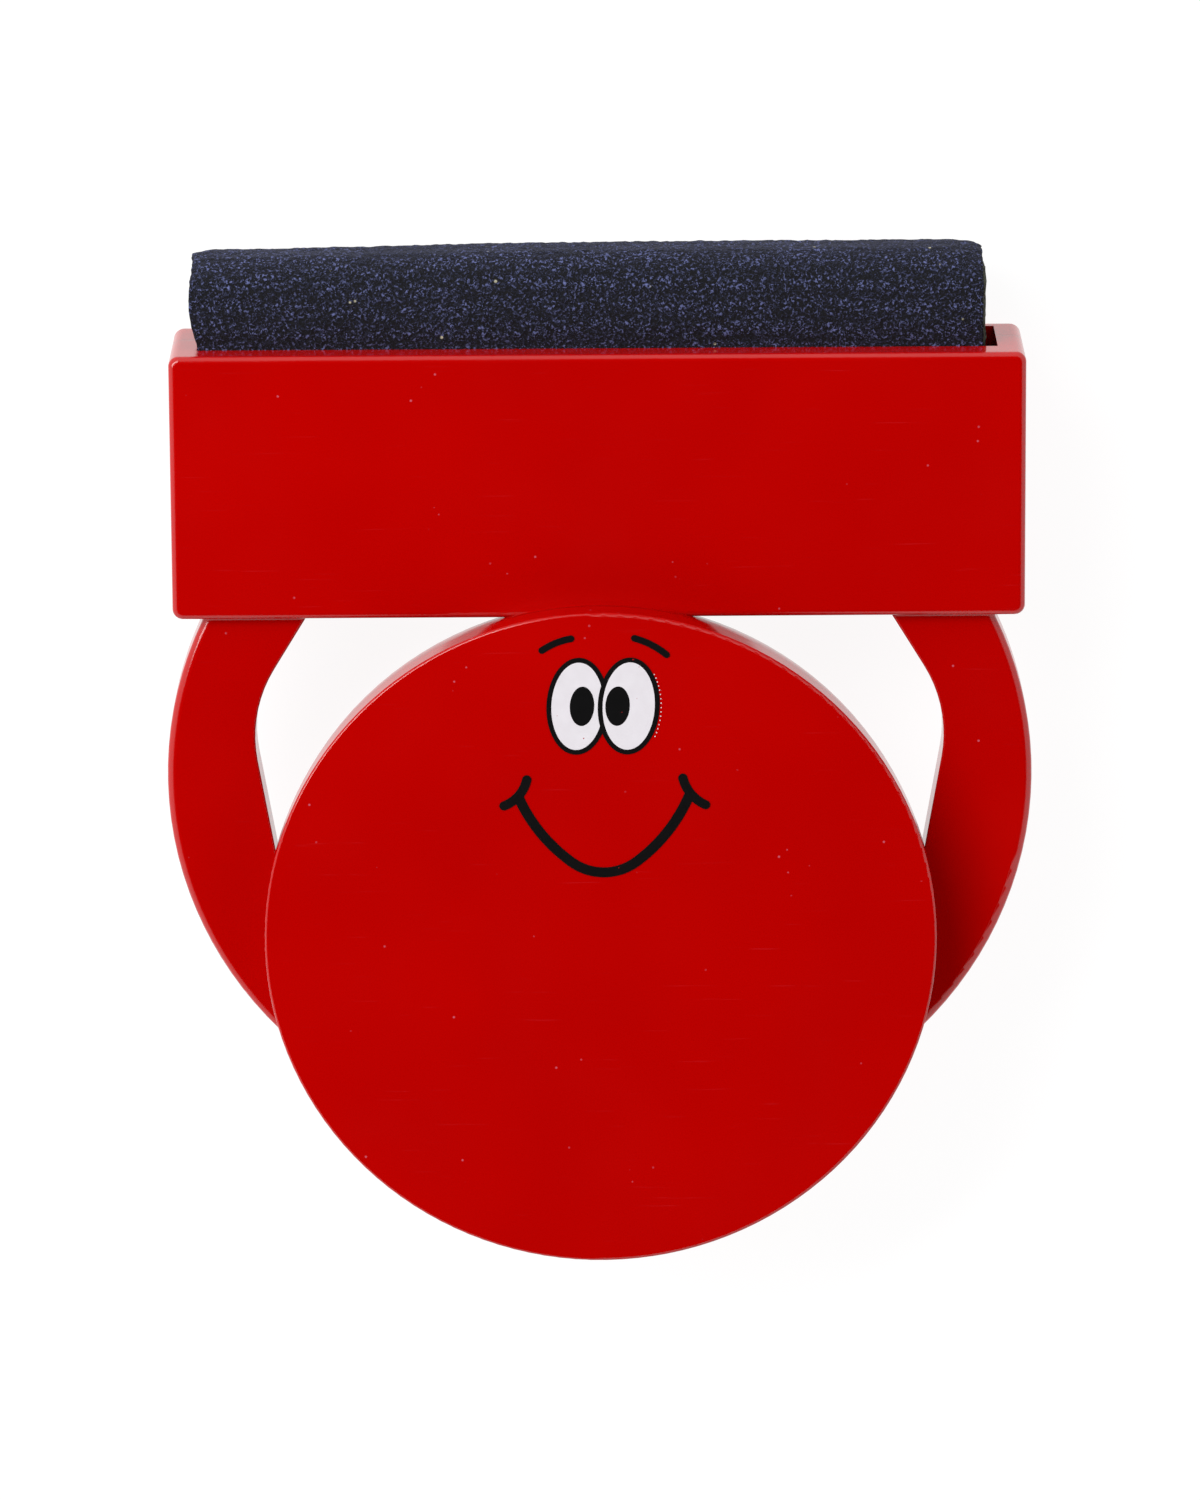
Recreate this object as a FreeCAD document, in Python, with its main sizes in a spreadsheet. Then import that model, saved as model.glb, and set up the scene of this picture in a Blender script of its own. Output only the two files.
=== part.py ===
import FreeCAD, Part
import Sketcher
import math
import os
import re

# A chalkboard eraser lying on its back, face up.
#
# +X runs along the pad, +Y from the round box to the pad, +Z out of the printed face.
# The origin is the middle of the round box, on the plane that the eraser's back rests on.
#
# The red body is two moulded halves that meet on one parting plane. Each half holds half of
# the trough, half of both arms and half of the round box. A round lid closes the box, and a
# cloth-covered pad is pushed into the trough from its open +Y side.

# ---------------------------------------------------------------- driving dimensions

SIZES = [
    ("trough_width", 100.0, "trough along X"),
    ("trough_length", 31.45, "trough along Y"),
    ("trough_depth", 19.5, "trough along Z"),
    ("trough_corner", 1.2, "corners of the trough's outline"),
    ("trough_front_round", 0.8, "round on the trough's front edges"),
    ("trough_back_round", 3.0, "round on the trough's back edges"),
    ("end_wall", 3.2, "trough wall at each end of the pad"),
    ("front_wall", 4.0, "trough wall in front of the pad"),
    ("back_wall", 4.0, "trough wall behind the pad"),
    ("pocket_depth", 20.0, "pad pocket, from the rim down"),
    ("pocket_floor", 2.5, "floor under the pad"),
    ("front_half", 6.1, "trough in front of the parting plane"),
    ("skin", 2.2, "moulded wall of the hollow stretches"),
    ("cell_count", 5, "hollow cells under the pocket"),
    ("cell_rib", 1.6, "rib between two cells"),
    ("disc_radius", 39.6, "lid of the round box"),
    ("disc_proud", 4.95, "lid's face in front of the trough"),
    ("disc_overlap", 1.75, "lid over the trough's lower edge"),
    ("lid_overhang", 0.12, "lid past the box, all round"),
    ("box_lip", 0.3, "straight side of the box under its lid"),
    ("cap_side", 3.8, "side of the lid that shows"),
    ("cap_plate", 2.0, "face plate of the lid"),
    ("cap_edge_round", 0.38, "round on the lid's front edge"),
    ("spigot_depth", 1.8, "lid's rim inside the box"),
    ("spigot_wall", 1.6, "wall of the lid's rim"),
    ("spigot_clearance", 0.2, "lid's rim to the box"),
    ("web", 2.0, "web across the box, behind the lid"),
    ("arm_recess", 1.6, "arm's front behind the trough's front"),
    ("arm_behind", 3.1, "arm behind the parting plane"),
    ("arm_bulge", 1.0, "arm past the trough's end"),
    ("arm_drop", 19.75, "outer arc's widest place below the trough"),
    ("arm_landing", 23.1, "outer arc's end, below level round the lid"),
    ("arm_sink", 0.8, "outer arc's end inside the lid's edge"),
    ("arm_width", 10.45, "arm at its narrowest"),
    ("arm_skin", 2.0, "moulded wall of an arm"),
    ("inner_radius", 16.0, "arc on an arm's inner edge"),
    ("inner_drop", 14.75, "inner arc's middle below the trough"),
    ("root_slope", 31.5, "inner edge off vertical, at the trough"),
    ("foot_sink", 2.9, "inner edge's end inside the lid's edge"),
    ("foot_width", 10.2, "arm level with the lid's middle, at least"),
    ("heel_length", 6.0, "level cut at an arm's foot, inside the box"),
    ("arm_front_round", 1.0, "round on an arm's outer front edge"),
    ("arm_inner_round", 0.3, "round on an arm's inner front edge"),
    ("arm_back_round", 2.0, "round on an arm's back edges"),
    ("root_fillet", 0.5, "fillet between an arm's front and the trough"),
    ("pin_radius", 1.5, "locating pins between the halves"),
    ("pin_length", 4.0, "pin past the parting plane"),
    ("pin_inset", 4.4, "pin's middle inside the box's flat floor"),
    ("pin_count", 4, "pins round the box"),
    ("pin_clearance", 0.05, "pin in its socket, all round"),
    ("socket_wall", 1.6, "wall round a pin's socket"),
    ("socket_spare", 0.5, "socket deeper than its pin"),
    ("pad_rise", 11.7, "pad above the rim"),
    ("pad_side_gap", 0.15, "pad to the trough's front and back walls"),
    ("pad_near_gap", 0.2, "pad to the trough's end wall at -X"),
    ("pad_far_gap", 0.8, "pad to the trough's end wall at +X"),
    ("pad_floor_gap", 0.3, "pad above the pocket's floor"),
    ("pad_crown", 2.6, "round on the pad's two long top edges"),
    ("cloth", 1.3, "looped cloth, pile and backing"),
    ("base_strip", 1.2, "strip under the foam"),
    ("ink", 0.06, "printed ink film"),
    ("face_x", 0.44, "printed face's centre line, from the disc's middle"),
    ("eye_y", 28.45, "eyes above the disc's middle"),
    ("eye_spread", 3.0, "eye's middle to the face's centre line"),
    ("eye_half_width", 3.63, "eye with its outline"),
    ("eye_half_height", 5.85, "eye with its outline"),
    ("eye_outline", 0.58, "black line round an eye"),
    ("eye_tilt", 3.0, "lean of both eyes towards +X"),
    ("pupil_half_width", 1.44, "pupil"),
    ("pupil_half_height", 2.38, "pupil"),
    ("pupil_x", 0.06, "middle between the pupils, from the disc's middle"),
    ("pupil_spread", 2.08, "pupil's middle to the middle between them"),
    ("brow_line", 0.8, "brow's line"),
    ("smile_line", 1.2, "smile's line"),
    ("smile_low", 8.3, "smile's lowest point above the disc's middle"),
    ("smile_low_radius", 6.3, "smile's tight arc"),
    ("smile_low_turn", 37.0, "half of the tight arc's turn"),
    ("smile_side_radius", 19.5, "smile's wide arcs"),
    ("smile_side_turn", 30.0, "turn of each wide arc"),
    ("cheek_line", 1.1, "cheek mark's line"),
]

document = FreeCAD.newDocument("chalkboard_eraser")
sheet = document.addObject("Spreadsheet::Sheet", "Sizes")
for row, (alias, number, meaning) in enumerate(SIZES, start=1):
    sheet.set(f"A{row}", meaning)
    sheet.set(f"B{row}", str(number))
    sheet.setAlias(f"B{row}", alias)
document.recompute()

ALIASES = {alias for alias, number, meaning in SIZES}

# Places that several pieces share, worked out from the sheet.
PARTING = "(trough_depth - front_half)"
FACE = "(trough_depth + disc_proud)"
SEAT = f"({FACE} - cap_side)"
BACK_ROUND = f"({SEAT} - box_lip)"
RECESS = f"({SEAT} - spigot_depth - spigot_clearance)"
BOX_RADIUS = "(disc_radius - lid_overhang)"
LOW_EDGE = "(disc_radius - disc_overlap)"
RIM = f"({LOW_EDGE} + trough_length)"
HALF_WIDTH = "(trough_width / 2)"
PAD_LEFT = f"(end_wall + pad_near_gap - {HALF_WIDTH})"
PAD_RIGHT = f"({HALF_WIDTH} - end_wall - pad_far_gap)"
PAD_BACK = "(back_wall + pad_side_gap)"
PAD_FRONT = "(trough_depth - front_wall - pad_side_gap)"
PAD_LOW = f"({RIM} - pocket_depth + pad_floor_gap)"
PAD_HIGH = f"({RIM} + pad_rise)"
PIN_PLACE = f"({BOX_RADIUS} - {BACK_ROUND} - pin_inset)"

# The right arm. Its outer arc is widest at one level, and ends just inside the lid's edge at
# a set angle, which gives its radius. Its inner edge leaves the trough at a set slope, bends
# round an arc, and runs straight to a point level with the lid's middle, which is inside the
# lid's edge and leaves the foot its width.
ARM_FRONT = "(trough_depth - arm_recess)"
ARM_BACK = f"({PARTING} - arm_behind)"
ARM_TOP = f"({LOW_EDGE} + skin)"
ARM_REACH = f"({HALF_WIDTH} + arm_bulge)"
ARM_LEVEL = f"({LOW_EDGE} - arm_drop)"
LANDING_X = "((disc_radius - arm_sink) * cos(arm_landing))"
LANDING_DROP = f"({ARM_LEVEL} + (disc_radius - arm_sink) * sin(arm_landing))"
LANDING_IN = f"({ARM_REACH} - {LANDING_X})"
ARM_RADIUS = f"(({LANDING_IN}^2 + {LANDING_DROP}^2) / (2 * {LANDING_IN}))"
BEND_X = f"({ARM_REACH} - arm_width - inner_radius)"
BEND_LEVEL = f"({LOW_EDGE} - inner_drop)"
OUTER_AT_FOOT = f"({ARM_REACH} - {ARM_RADIUS} + sqrt({ARM_RADIUS}^2 - {ARM_LEVEL}^2))"
FOOT_IN = f"(min(disc_radius - foot_sink; {OUTER_AT_FOOT} - foot_width) - {BEND_X})"
FOOT_SLOPE = (f"(atan2({BEND_LEVEL}; {FOOT_IN})"
              f" - acos(inner_radius / sqrt({FOOT_IN}^2 + {BEND_LEVEL}^2)))")

TOUCHING = 1e-3


def in_sheet(formula):
    """A formula with the sheet's name before each of its words."""
    return re.sub(r"[a-z_]+",
                  lambda word: f"Sizes.{word.group()}" if word.group() in ALIASES else word.group(),
                  formula)


def value(formula):
    """The number that a formula comes to, in mm or degrees."""
    found = sheet.evalExpression(in_sheet(formula))
    return getattr(found, "Value", found)


def bind(target, path, formula):
    """Ties a property to a formula of the sheet's words."""
    target.setExpression(path, in_sheet(formula))


# ---------------------------------------------------------------- bodies and sketches

def new_body(label):
    body = document.addObject("PartDesign::Body", label)
    body.Label = label
    return body


def origin_part(body, role):
    return next(part for part in body.Origin.OriginFeatures if part.Role == role)


def new_sketch(body, name, role="XY_Plane", height=None):
    """A sketch on one of the body's origin planes, or at a height above it."""
    sketch = body.newObject("Sketcher::SketchObject", name)
    sketch.AttachmentSupport = [(origin_part(body, role), "")]
    sketch.MapMode = "FlatFace"
    if height:
        bind(sketch, "AttachmentOffset.Base.z", height)
    return sketch


def dimension(sketch, kind, item, point, formula):
    """Places a point along X or Y from the sketch's origin."""
    if formula == "0":
        axis = -2 if kind == "DistanceX" else -1
        sketch.addConstraint(Sketcher.Constraint("PointOnObject", item, point, axis))
        return
    drawn = sketch.getPoint(item, point)
    drawn = drawn.x if kind == "DistanceX" else drawn.y
    index = sketch.addConstraint(Sketcher.Constraint(kind, -1, 1, item, point, drawn))
    bind(sketch, f"Constraints[{index}]", formula)


def radius_of(sketch, item, formula):
    drawn = sketch.Geometry[item].Radius
    index = sketch.addConstraint(Sketcher.Constraint("Radius", item, drawn))
    bind(sketch, f"Constraints[{index}]", formula)


def close_chain(sketch, links):
    """Joins the end of each line or arc to the start of the next one, as (item, end) pairs."""
    for (item, end), (following, start) in links:
        sketch.addConstraint(Sketcher.Constraint("Coincident", item, end, following, start))


def polygon(sketch, corners):
    """A closed outline of straight lines through corners given as formulas."""
    count = len(corners)
    turn = 2 * math.pi / count
    rough = [FreeCAD.Vector(math.cos(turn * i), math.sin(turn * i), 0) for i in range(count)]
    for i in range(count):
        sketch.addGeometry(Part.LineSegment(rough[i], rough[(i + 1) % count]))
    close_chain(sketch, [((i, 2), ((i + 1) % count, 1)) for i in range(count)])
    for i, (along_x, along_y) in enumerate(corners):
        dimension(sketch, "DistanceX", i, 1, along_x)
        dimension(sketch, "DistanceY", i, 1, along_y)


def rectangle(sketch, left, right, low, high):
    polygon(sketch, [(left, low), (right, low), (right, high), (left, high)])


def circle(sketch, along_x, along_y, radius):
    item = sketch.addGeometry(Part.Circle(FreeCAD.Vector(1, 1, 0), FreeCAD.Vector(0, 0, 1), 1))
    dimension(sketch, "DistanceX", item, 3, along_x)
    dimension(sketch, "DistanceY", item, 3, along_y)
    radius_of(sketch, item, radius)


def prism(body, kind, name, sketch, length, reverse=False):
    """A Pad or a Pocket that runs along the sketch's normal, or against it."""
    feature = body.newObject(kind, name)
    feature.Profile = sketch
    # A Pocket's own direction is against the normal.
    feature.Reversed = reverse != (kind == "PartDesign::Pocket")
    bind(feature, "Length", length)
    document.recompute()
    return feature


def turned(body, kind, name, sketch):
    """A Revolution or a Groove round the box's own axis."""
    feature = body.newObject(kind, name)
    feature.Profile = sketch
    feature.ReferenceAxis = (origin_part(body, "Z_Axis"), [""])
    document.recompute()
    return feature


def rounded(body, name, base, chosen, radius):
    """A fillet on the edges of the base that the given test picks out."""
    edges = [f"Edge{i}" for i, edge in enumerate(base.Shape.Edges, start=1) if chosen(edge)]
    feature = body.newObject("PartDesign::Fillet", name)
    feature.Base = (base, edges)
    bind(feature, "Radius", radius)
    document.recompute()
    return feature


def lies_at(edge, axis, place):
    """Whether the whole edge lies at one place along Y or Z."""
    box = edge.BoundBox
    low, high = {"y": (box.YMin, box.YMax), "z": (box.ZMin, box.ZMax)}[axis]
    return abs(low - place) < TOUCHING and abs(high - place) < TOUCHING


# ---------------------------------------------------------------- the red body

def draw_arm(sketch, inset):
    """The right arm's outline, with both its edges moved into the arm by the inset."""
    up = FreeCAD.Vector(0, 0, 1)
    top = value(ARM_TOP)
    arm_radius = value(ARM_RADIUS)
    middle = FreeCAD.Vector(value(ARM_REACH) - arm_radius, value(ARM_LEVEL), 0)
    outer_circle = Part.Circle(middle, up, arm_radius)
    foot_turn = -math.asin(value(LANDING_DROP) / arm_radius)
    top_turn = math.asin((top - middle.y) / arm_radius)
    outer_top = outer_circle.value(top_turn)
    outer_foot = outer_circle.value(foot_turn)

    bend_middle = FreeCAD.Vector(value(BEND_X), value(BEND_LEVEL), 0)
    bend_circle = Part.Circle(bend_middle, up, value("inner_radius"))
    root = math.radians(value("root_slope"))
    foot = math.radians(value(FOOT_SLOPE))
    bend_top = bend_circle.value(root)
    bend_low = bend_circle.value(-foot)
    root_end = FreeCAD.Vector(bend_top.x - (top - bend_top.y) * math.tan(root), top, 0)
    foot_end = FreeCAD.Vector(bend_low.x - bend_low.y * math.tan(foot), 0, 0)
    heel = foot_end - FreeCAD.Vector(value("heel_length"), 0, 0)

    outer = sketch.addGeometry(Part.ArcOfCircle(outer_circle, foot_turn, top_turn))
    top_line = sketch.addGeometry(Part.LineSegment(outer_top, root_end))
    root_line = sketch.addGeometry(Part.LineSegment(root_end, bend_top))
    bend = sketch.addGeometry(Part.ArcOfCircle(bend_circle, -foot, root))
    foot_line = sketch.addGeometry(Part.LineSegment(bend_low, foot_end))
    heel_line = sketch.addGeometry(Part.LineSegment(foot_end, heel))
    last_line = sketch.addGeometry(Part.LineSegment(heel, outer_foot))
    close_chain(sketch, [((outer, 2), (top_line, 1)), ((top_line, 2), (root_line, 1)),
                         ((foot_line, 2), (heel_line, 1)), ((heel_line, 2), (last_line, 1)),
                         ((last_line, 2), (outer, 1))])
    sketch.addConstraint(Sketcher.Constraint("Tangent", root_line, 2, bend, 2))
    sketch.addConstraint(Sketcher.Constraint("Tangent", bend, 1, foot_line, 1))
    sketch.addConstraint(Sketcher.Constraint("Horizontal", top_line))
    sketch.addConstraint(Sketcher.Constraint("Horizontal", heel_line))

    outer_radius = f"({ARM_RADIUS} - {inset})"
    bend_radius = f"(inner_radius + {inset})"
    dimension(sketch, "DistanceX", outer, 3, f"{ARM_REACH} - {ARM_RADIUS}")
    dimension(sketch, "DistanceY", outer, 3, ARM_LEVEL)
    radius_of(sketch, outer, outer_radius)
    dimension(sketch, "DistanceY", outer, 2, ARM_TOP)
    dimension(sketch, "DistanceY", outer, 1,
              f"{ARM_LEVEL} - {outer_radius} * {LANDING_DROP} / {ARM_RADIUS}")
    dimension(sketch, "DistanceX", bend, 3, BEND_X)
    dimension(sketch, "DistanceY", bend, 3, BEND_LEVEL)
    radius_of(sketch, bend, bend_radius)
    dimension(sketch, "DistanceY", bend, 2, f"{BEND_LEVEL} + {bend_radius} * sin(root_slope)")
    dimension(sketch, "DistanceY", bend, 1, f"{BEND_LEVEL} - {bend_radius} * sin({FOOT_SLOPE})")
    dimension(sketch, "DistanceY", foot_line, 2, "0")
    heel_index = sketch.addConstraint(
        Sketcher.Constraint("DistanceX", heel_line, 2, heel_line, 1, value("heel_length")))
    bind(sketch, f"Constraints[{heel_index}]", "heel_length")


def add_arms(body):
    """Both arms, rounded and cored, before anything else is joined to them."""
    outline = new_sketch(body, "ArmOutline", height=ARM_BACK)
    draw_arm(outline, "0")
    arm = prism(body, "PartDesign::Pad", "Arm", outline, f"{ARM_FRONT} - {ARM_BACK}")
    trough_end = value(HALF_WIDTH)

    def shows(edge, level):
        """Whether an edge at this level is not one of those buried at the arm's two ends."""
        buried = lies_at(edge, "y", value(ARM_TOP)) or edge.BoundBox.YMax < TOUCHING
        return lies_at(edge, "z", value(level)) and not buried

    def is_outer(edge):
        return edge.Curve.TypeId == "Part::GeomCircle" and edge.BoundBox.XMax > trough_end

    def is_inner(edge):
        return edge.BoundBox.YMin > -TOUCHING

    arm = rounded(body, "ArmFrontRound", arm,
                  lambda edge: shows(edge, ARM_FRONT) and is_outer(edge), "arm_front_round")
    arm = rounded(body, "ArmInnerRound", arm,
                  lambda edge: shows(edge, ARM_FRONT) and is_inner(edge), "arm_inner_round")
    arm = rounded(body, "ArmBackRound", arm,
                  lambda edge: shows(edge, ARM_BACK), "arm_back_round")
    core = new_sketch(body, "ArmCore", height=f"{ARM_BACK} + arm_skin")
    draw_arm(core, "arm_skin")
    arm = prism(body, "PartDesign::Pocket", "ArmHollow", core,
                f"{ARM_FRONT} - {ARM_BACK} - 2 * arm_skin")
    both = body.newObject("PartDesign::Mirrored", "BothArms")
    both.Originals = [arm]
    both.MirrorPlane = (origin_part(body, "YZ_Plane"), [""])
    both.TransformMode = "Whole shape"
    body.Tip = both
    document.recompute()


def add_trough(body):
    """The trough: a rounded block with the pad's pocket and a row of hollow cells under it."""
    outline = new_sketch(body, "TroughOutline")
    rectangle(outline, f"-{HALF_WIDTH}", HALF_WIDTH, LOW_EDGE, RIM)
    block = prism(body, "PartDesign::Pad", "Trough", outline, "trough_depth")
    end = value(HALF_WIDTH)
    low_edge = value(LOW_EDGE)
    arm_thickness = value(f"{ARM_FRONT} - {ARM_BACK}")

    def is_corner(edge):
        """Whether an edge is one of the block's four upright corners."""
        upright = edge.BoundBox.ZLength > arm_thickness
        return upright and abs(abs(edge.CenterOfMass.x) - end) < TOUCHING

    def on_block(edge, level):
        """Whether an edge at this level belongs to the block's outline."""
        return lies_at(edge, "z", value(level)) and edge.BoundBox.YMax > low_edge - TOUCHING

    block = rounded(body, "TroughCorners", block, is_corner, "trough_corner")
    block = rounded(body, "TroughFrontRound", block,
                    lambda edge: on_block(edge, "trough_depth"), "trough_front_round")
    block = rounded(body, "TroughBackRound", block,
                    lambda edge: on_block(edge, "0"), "trough_back_round")
    rounded(body, "ArmRootFillet", block, lambda edge: lies_at(edge, "z", value(ARM_FRONT))
            and lies_at(edge, "y", low_edge), "root_fillet")

    pocket = new_sketch(body, "PadPocketOutline", height="back_wall")
    rectangle(pocket, f"end_wall - {HALF_WIDTH}", f"{HALF_WIDTH} - end_wall",
              f"{RIM} - pocket_depth", f"{RIM} + pad_rise")
    prism(body, "PartDesign::Pocket", "PadPocket", pocket, "trough_depth - front_wall - back_wall")

    pitch = "(trough_width - 2 * skin + cell_rib) / cell_count"
    cell = new_sketch(body, "CellOutline", height="skin")
    rectangle(cell, f"skin - {HALF_WIDTH}", f"skin - {HALF_WIDTH} + {pitch} - cell_rib",
              f"{LOW_EDGE} + skin", f"{RIM} - pocket_depth - pocket_floor")
    hollow = prism(body, "PartDesign::Pocket", "Cell", cell, "trough_depth - 2 * skin")
    row = body.newObject("PartDesign::LinearPattern", "CellRow")
    row.Originals = [hollow]
    row.Direction = (origin_part(body, "X_Axis"), [""])
    row.Mode = "Spacing"
    bind(row, "Offset", pitch)
    bind(row, "Occurrences", "cell_count")
    body.Tip = row
    document.recompute()


def draw_box_side(sketch, inset, high):
    """The outer line of the round box from its flat floor to a height, moved in by the inset:
    floor, quarter round, straight side, and back along the top to the axis."""
    round_height = value(BACK_ROUND)
    middle = FreeCAD.Vector(value(BOX_RADIUS) - round_height, round_height, 0)
    round_circle = Part.Circle(middle, FreeCAD.Vector(0, 0, 1), round_height)
    corner = round_circle.value(-math.pi / 2)
    side = round_circle.value(0)
    axis_low = FreeCAD.Vector(0, corner.y, 0)
    side_top = FreeCAD.Vector(side.x, value(high), 0)
    axis_top = FreeCAD.Vector(0, side_top.y, 0)
    floor = sketch.addGeometry(Part.LineSegment(axis_low, corner))
    quarter = sketch.addGeometry(Part.ArcOfCircle(round_circle, -math.pi / 2, 0))
    wall = sketch.addGeometry(Part.LineSegment(side, side_top))
    top = sketch.addGeometry(Part.LineSegment(side_top, axis_top))
    axis = sketch.addGeometry(Part.LineSegment(axis_top, axis_low))
    sketch.addConstraint(Sketcher.Constraint("Tangent", floor, 2, quarter, 1))
    sketch.addConstraint(Sketcher.Constraint("Tangent", quarter, 2, wall, 1))
    close_chain(sketch, [((wall, 2), (top, 1)), ((top, 2), (axis, 1)), ((axis, 2), (floor, 1))])
    sketch.addConstraint(Sketcher.Constraint("Horizontal", floor))
    sketch.addConstraint(Sketcher.Constraint("Horizontal", top))
    dimension(sketch, "DistanceX", floor, 1, "0")
    dimension(sketch, "DistanceX", axis, 1, "0")
    dimension(sketch, "DistanceX", quarter, 3, f"{BOX_RADIUS} - {BACK_ROUND}")
    dimension(sketch, "DistanceY", quarter, 3, BACK_ROUND)
    radius_of(sketch, quarter, f"{BACK_ROUND} - {inset}")
    dimension(sketch, "DistanceY", wall, 2, high)


def add_round_box(body):
    """The round box under the lid: a drum with a rounded back, and a web behind the lid."""
    outside = new_sketch(body, "BoxProfile", role="XZ_Plane")
    draw_box_side(outside, "0", SEAT)
    turned(body, "PartDesign::Revolution", "RoundBox", outside)
    inside = new_sketch(body, "BoxHollowProfile", role="XZ_Plane")
    draw_box_side(inside, "skin", FACE)
    turned(body, "PartDesign::Groove", "BoxHollow", inside)
    web = new_sketch(body, "WebOutline", height=f"{RECESS} - web")
    circle(web, "0", "0", f"{BOX_RADIUS} - skin / 2")
    prism(body, "PartDesign::Pad", "Web", web, "web")


def cut_at_parting_plane(body, keep_front):
    """Leaves one half of the red body."""
    cover = new_sketch(body, "PartingOutline", height=PARTING)
    rectangle(cover, "-trough_width", "trough_width", "-2 * disc_radius", f"{RIM} + pad_rise")
    prism(body, "PartDesign::Pocket", "PartingCut", cover, FACE, reverse=keep_front)


def ring_of(body, name, feature):
    """Repeats a pin's feature round the box."""
    ring = body.newObject("PartDesign::PolarPattern", name)
    ring.Originals = [feature]
    ring.Axis = (origin_part(body, "Z_Axis"), [""])
    ring.Angle = 360
    bind(ring, "Occurrences", "pin_count")
    body.Tip = ring
    document.recompute()
    return ring


def new_red_body(label):
    """The whole red body, which each half is then cut from."""
    body = new_body(label)
    add_arms(body)
    add_trough(body)
    add_round_box(body)
    return body


def make_front_shell():
    body = new_red_body("front_shell")
    cut_at_parting_plane(body, keep_front=True)
    outline = new_sketch(body, "PinOutline", height=f"{RECESS} - web / 2")
    circle(outline, PIN_PLACE, "0", "pin_radius")
    pin = prism(body, "PartDesign::Pad", "Pin", outline,
                f"{RECESS} - web / 2 - {PARTING} + pin_length", reverse=True)
    ring_of(body, "Pins", pin)
    return body


def make_back_shell():
    body = new_red_body("back_shell")
    cut_at_parting_plane(body, keep_front=False)
    boss_outline = new_sketch(body, "BossOutline", height="skin / 2")
    circle(boss_outline, PIN_PLACE, "0", "pin_radius + pin_clearance + socket_wall")
    boss = prism(body, "PartDesign::Pad", "Boss", boss_outline, f"{PARTING} - skin / 2")
    ring_of(body, "Bosses", boss)
    socket_outline = new_sketch(body, "SocketOutline", height=PARTING)
    circle(socket_outline, PIN_PLACE, "0", "pin_radius + pin_clearance")
    socket = prism(body, "PartDesign::Pocket", "Socket", socket_outline,
                   "pin_length + socket_spare", reverse=True)
    ring_of(body, "Sockets", socket)
    return body


# ---------------------------------------------------------------- the lid

def make_face_cap():
    """The lid: a flat face, a short side that carries on the box's, and a rim that plugs in."""
    body = new_body("face_cap")
    profile = new_sketch(body, "CapProfile", role="XZ_Plane")
    rim_outer = f"{BOX_RADIUS} - skin - spigot_clearance"
    polygon(profile, [
        ("0", f"{FACE} - cap_plate"),
        (f"{rim_outer} - spigot_wall", f"{FACE} - cap_plate"),
        (f"{rim_outer} - spigot_wall", f"{SEAT} - spigot_depth"),
        (rim_outer, f"{SEAT} - spigot_depth"),
        (rim_outer, SEAT),
        ("disc_radius", SEAT),
        ("disc_radius", FACE),
        ("0", FACE),
    ])
    lid = turned(body, "PartDesign::Revolution", "Lid", profile)
    rounded(body, "CapEdgeRound", lid, lambda edge: lies_at(edge, "z", value(FACE)),
            "cap_edge_round")
    return body


# ---------------------------------------------------------------- the pad

def is_long_top_edge(edge, level):
    """Whether an edge runs the pad's length at this level along Y."""
    return lies_at(edge, "y", value(level)) and edge.BoundBox.XLength > TOUCHING


def make_foam_core():
    """The foam block that stands on the strip inside the cloth."""
    body = new_body("foam_core")
    outline = new_sketch(body, "FoamOutline", height=f"{PAD_BACK} + cloth")
    rectangle(outline, PAD_LEFT, PAD_RIGHT, f"{PAD_LOW} + base_strip", f"{PAD_HIGH} - cloth")
    block = prism(body, "PartDesign::Pad", "Foam", outline,
                  f"{PAD_FRONT} - {PAD_BACK} - 2 * cloth")
    rounded(body, "FoamCrown", block,
            lambda edge: is_long_top_edge(edge, f"{PAD_HIGH} - cloth"), "pad_crown - cloth")
    return body


def make_cloth_cover():
    """Cloth over the foam's front, top and back, open at both ends and along the bottom."""
    body = new_body("cloth_cover")
    outline = new_sketch(body, "CoverOutline", height=PAD_BACK)
    rectangle(outline, PAD_LEFT, PAD_RIGHT, PAD_LOW, PAD_HIGH)
    block = prism(body, "PartDesign::Pad", "Cover", outline, f"{PAD_FRONT} - {PAD_BACK}")
    rounded(body, "CoverCrown", block,
            lambda edge: is_long_top_edge(edge, PAD_HIGH), "pad_crown")
    inside = new_sketch(body, "InsideOutline", height=f"{PAD_BACK} + cloth")
    rectangle(inside, f"{PAD_LEFT} - cloth", f"{PAD_RIGHT} + cloth",
              f"{PAD_LOW} - cloth", f"{PAD_HIGH} - cloth")
    hollow = prism(body, "PartDesign::Pocket", "Inside", inside,
                   f"{PAD_FRONT} - {PAD_BACK} - 2 * cloth")
    rounded(body, "InsideCrown", hollow,
            lambda edge: is_long_top_edge(edge, f"{PAD_HIGH} - cloth"), "pad_crown - cloth")
    return body


def make_pad_base_strip():
    """The stiff strip that the cloth's two long edges are held to."""
    strip = document.addObject("Part::Box", "pad_base_strip")
    strip.Label = "pad_base_strip"
    bind(strip, "Length", f"{PAD_RIGHT} - {PAD_LEFT}")
    bind(strip, "Width", "base_strip")
    bind(strip, "Height", f"{PAD_FRONT} - {PAD_BACK} - 2 * cloth")
    bind(strip, "Placement.Base.x", PAD_LEFT)
    bind(strip, "Placement.Base.y", PAD_LOW)
    bind(strip, "Placement.Base.z", f"{PAD_BACK} + cloth")
    return strip


# ---------------------------------------------------------------- the printed face

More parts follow.
